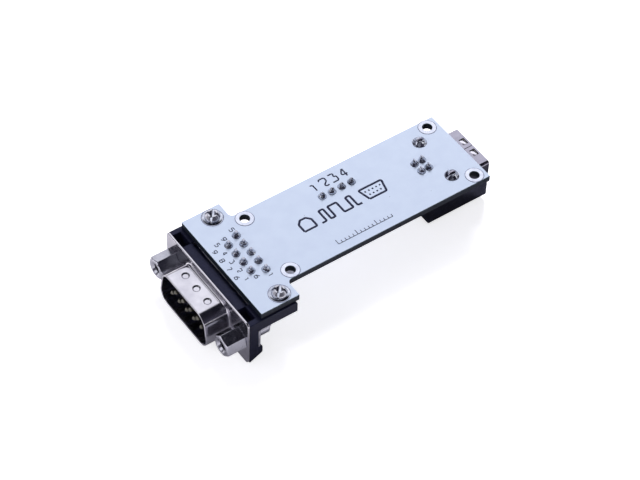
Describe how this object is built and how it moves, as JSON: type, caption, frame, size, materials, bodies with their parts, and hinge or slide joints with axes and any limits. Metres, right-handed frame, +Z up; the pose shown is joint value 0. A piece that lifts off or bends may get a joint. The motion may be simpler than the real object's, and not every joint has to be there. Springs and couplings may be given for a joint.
{
  "type": "usb to serial adapter module",
  "caption": "Bare circuit board that joins a square USB receptacle to a right-angle serial plug with screw locks and boardlocks, shown solder side up.",
  "frame": {"origin": "on the surface that the adapter stands on, under the middle of its box, midway between the two mouths", "axes": "+X from the serial mouth to the USB mouth, +Y across the board, +Z up, out of the solder side"},
  "size_m": [0.0754, 0.0308, 0.015],
  "materials": {
    "board_mask": "semi-gloss solder mask on glass epoxy",
    "tinned_copper": "bright tin",
    "nickel_shell": "bright nickel on drawn steel",
    "nickel_screw": "nickel on turned steel",
    "tinned_steel": "tinned strip",
    "black_moulding": "semi-gloss moulded",
    "white_moulding": "matt moulded",
    "gold_plate": "thin gold on brass",
    "solder": "bright solder",
    "chip_moulding": "fine matt epoxy",
    "capacitor_ceramic": "fired ceramic",
    "resistor_glaze": "glazed",
    "fuse_green": "matt laminate",
    "lamp_white": "matt",
    "lamp_clear": "clear epoxy"
  },
  "bodies": {
    "root": {"boardlock_left": "tinned_steel", "boardlock_right": "tinned_steel", "boardlock_solder": "solder", "bridge_chip": "chip_moulding", "bridge_chip_leads": "tinned_copper", "capacitor_ends": "tinned_copper", "capacitors": "capacitor_ceramic", "circuit_board": "board_mask", "clinch_nut_left": "nickel_screw", "clinch_nut_right": "nickel_screw", "driver_chip": "chip_moulding", "driver_chip_leads": "tinned_copper", "fuse": "fuse_green", "fuse_ends": "tinned_copper", "ground_strap_left": "tinned_steel", "ground_strap_right": "tinned_steel", "header_base": "black_moulding", "header_pin_1": "gold_plate", "header_pin_2": "gold_plate", "header_pin_3": "gold_plate", "header_pin_4": "gold_plate", "header_solder": "solder", "lamp_bases": "lamp_white", "lamp_lenses": "lamp_clear", "mounting_rings": "tinned_copper", "resistor_ends": "tinned_copper", "resistors": "resistor_glaze", "screwlock_left": "nickel_screw", "screwlock_right": "nickel_screw", "serial_bracket_left": "black_moulding", "serial_bracket_right": "black_moulding", "serial_contact_1": "gold_plate", "serial_contact_2": "gold_plate", "serial_contact_3": "gold_plate", "serial_contact_4": "gold_plate", "serial_contact_5": "gold_plate", "serial_contact_6": "gold_plate", "serial_contact_7": "gold_plate", "serial_contact_8": "gold_plate", "serial_contact_9": "gold_plate", "serial_front_shell": "nickel_shell", "serial_insulator": "black_moulding", "serial_pin_solder": "solder", "usb_body": "white_moulding", "usb_contact_1": "gold_plate", "usb_contact_2": "gold_plate", "usb_contact_3": "gold_plate", "usb_contact_4": "gold_plate", "usb_leg_solder": "solder", "usb_pin_solder": "solder", "usb_shell": "nickel_shell"}
  },
  "joints": []
}
